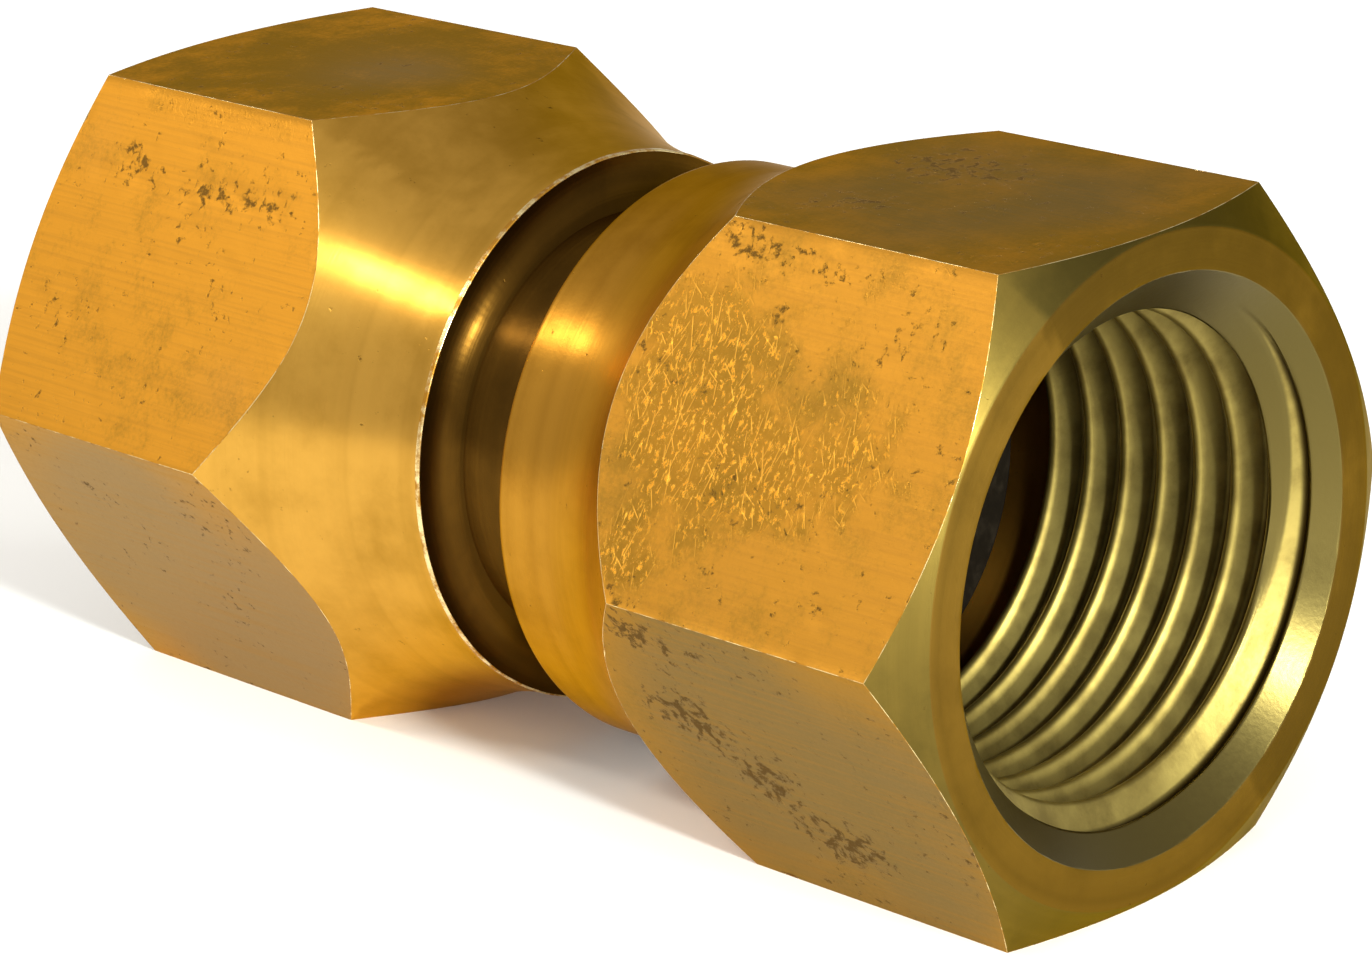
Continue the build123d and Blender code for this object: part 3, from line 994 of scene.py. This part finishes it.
def nitrile_rubber():
    material, tree, shader = start_material("moulded_nitrile_rubber")
    place = add(tree, "TexCoord", {}, {}, "Object")
    dust = add(tree, "TexNoise", {"Scale": 1 / (0.8 * MM), "Detail": 6, "Roughness": 0.7}, {"Vector": place})
    share = add(tree, "MapRange", SMOOTH | {"From Min": 0.45, "From Max": 0.8}, {"Value": dust})
    colour = add(tree, "Mix", COLOURS | {6: linear("#100E0B"), 7: linear("#241F18")}, {0: share}, 2)
    rough = add(
        tree, "MapRange", SMOOTH | {"From Min": 0.3, "From Max": 0.7, "To Min": 0.65, "To Max": 0.9},
        {"Value": dust}
    )
    bump = add(tree, "Bump", {"Strength": 1.0, "Distance": 0.02 * MM}, {"Height": dust})
    shader.inputs["IOR"].default_value = 1.52
    shader.inputs["Specular IOR Level"].default_value = 0.25
    shader.inputs["Specular Tint"].default_value = linear("#A88450")
    results = {"Base Color": colour, "Roughness": rough, "Normal": bump}
    for socket, source in results.items():
        tree.links.new(source, shader.inputs[socket])
    return material


# %% [markdown]
# The pieces are finished in one go. A piece's finishes stand in the order of the face numbers used above:
# drawn, turned, faced, tapped, worn, stem and chamfer.

# %% Finish the four pieces
tapped = tapped_brass("tapped_brass")
worn = worn_brass("worn_brass_edge", "#F4DCA0")
faced = turned_brass("faced_brass", "#7A5C24", "#523E18", 0.42, 0.4, 0.012 * MM)
chamfer = turned_brass("chamfered_brass", "#74602A", "#4A401C", 0.42, 0.4, 0.012 * MM)
# The stem's dark browns are painted shade for the groove between the body and the nut.
stem = turned_brass("groove_shaded_turned_brass", "#5E4014", "#3C280C", 0.32, 0.7, 0.012 * MM)
body_finishes = [
    drawn_brass("drawn_brass_bar", "#D19230", "#95826A", 0.98, 0.25),
    turned_brass("form_turned_brass", "#D09C42", "#A07426", 0.30, 0.8, 0.010 * MM),
    faced, tapped, worn, stem, chamfer,
]
nut_finishes = [
    drawn_brass("drawn_brass_bar_scratched", "#BE862E", "#786A50", 0.84, 1.0),
    turned_brass("collar_turned_brass", "#BA842E", "#8A5C1A", 0.31, 0.8, 0.012 * MM),
    faced, tapped, worn, stem, chamfer,
]
finish_piece("body_with_stem", body_mesh, "body", "female_body", body_finishes)
finish_piece("spinning_nut", nut_mesh, "nut", "swivel_nut", nut_finishes)
finish_piece("split_ring", ring_mesh, "retainer", "retaining_ring", [bronze_wire()])
finish_piece("flat_washer", washer_mesh, "body", "sealing_washer", [nitrile_rubber()])

# %% [markdown]
# A plain pale floor carries the fitting. It is matt, so that it throws an even light up into the lower flats.

# %% Floor
floor_mesh = bmesh.new()
bmesh.ops.create_grid(floor_mesh, x_segments=1, y_segments=1, size=3)
bmesh.ops.translate(floor_mesh, verts=floor_mesh.verts[:], vec=(0, 0, -flat_radius))
floor_data = bpy.data.meshes.new("floor")
floor_mesh.to_mesh(floor_data)
floor_mesh.free()
floor = bpy.data.objects.new("floor", floor_data)
bpy.context.scene.collection.objects.link(floor)
paper, _, paper_shader = start_material("matt_paper_floor")
paper_shader.inputs["Base Color"].default_value = linear("#FAF9F6")
paper_shader.inputs["Roughness"].default_value = 0.9
paper_shader.inputs["Emission Color"].default_value = linear("#FFFFFF")
paper_shader.inputs["Emission Strength"].default_value = 0.06
floor_data.materials.append(paper)
print(f"floor {flat_radius / MM:.1f} mm below the axis")

# %% [markdown]
# Polished metal shows the lights more than its own colour, so each light is placed by what mirrors it. The
# warm key is a long, narrow strip in front and above, and gives the neck and the collar their streak. Two
# small lamps on the mouth's side put the sparkle in the countersink and on the thread.

# %% Lights
def soft_light(name, place, facing, length, width, power, colour):
    """A rectangular soft light at a place, with its back to the facing direction."""
    data = bpy.data.lights.new(name, "AREA")
    data.shape = "RECTANGLE"
    data.size = length
    data.size_y = width
    data.energy = power
    data.color = colour
    light = bpy.data.objects.new(name, data)
    light.location = place
    light.rotation_euler = facing.to_track_quat("Z", "Y").to_euler()
    bpy.context.scene.collection.objects.link(light)


lamp_distance = 0.45
key_side = Vector((0, -0.61, 0.79))
lip_side = Vector((0.81, -0.36, 0.46))
thread_side = Vector((0.98, -0.02, 0.18))
key_place = key_side * lamp_distance + Vector((-0.24, 0, 0))
soft_light("key", key_place, key_side, 0.5, 0.035, 1.1, (1, 0.92, 0.8))
soft_light("lip_lamp", lip_side * lamp_distance, lip_side, 0.04, 0.04, 1.9, (0.93, 1, 1))
soft_light("thread_lamp", thread_side * lamp_distance, thread_side, 0.07, 0.07, 1.4, (0.95, 1, 0.96))
print("lights:", sorted(data.name for data in bpy.data.lights))

# %% [markdown]
# The room is a plain white gradient. It is bright in front of the fitting and darker behind it, and the top
# flats mirror that darker side. The plain view transform keeps the brass colours as they were mixed.

# %% Room
world = bpy.data.worlds.new("studio")
bpy.context.scene.world = world
world.use_nodes = True
sky = world.node_tree
towards = add(sky, "TexCoord", {}, {}, "Generated")
to_back = add(sky, "SeparateXYZ", {}, {0: towards}, 1)
brightness = add(
    sky, "MapRange", {"From Min": -0.5, "From Max": 0.7, "To Min": 0.78, "To Max": 0.5}, {"Value": to_back}
)
sky.nodes["Background"].inputs["Color"].default_value = linear("#FFFFFF")
sky.links.new(brightness, sky.nodes["Background"].inputs["Strength"])
bpy.context.scene.view_settings.view_transform = "Standard"
print("room:", world.name)
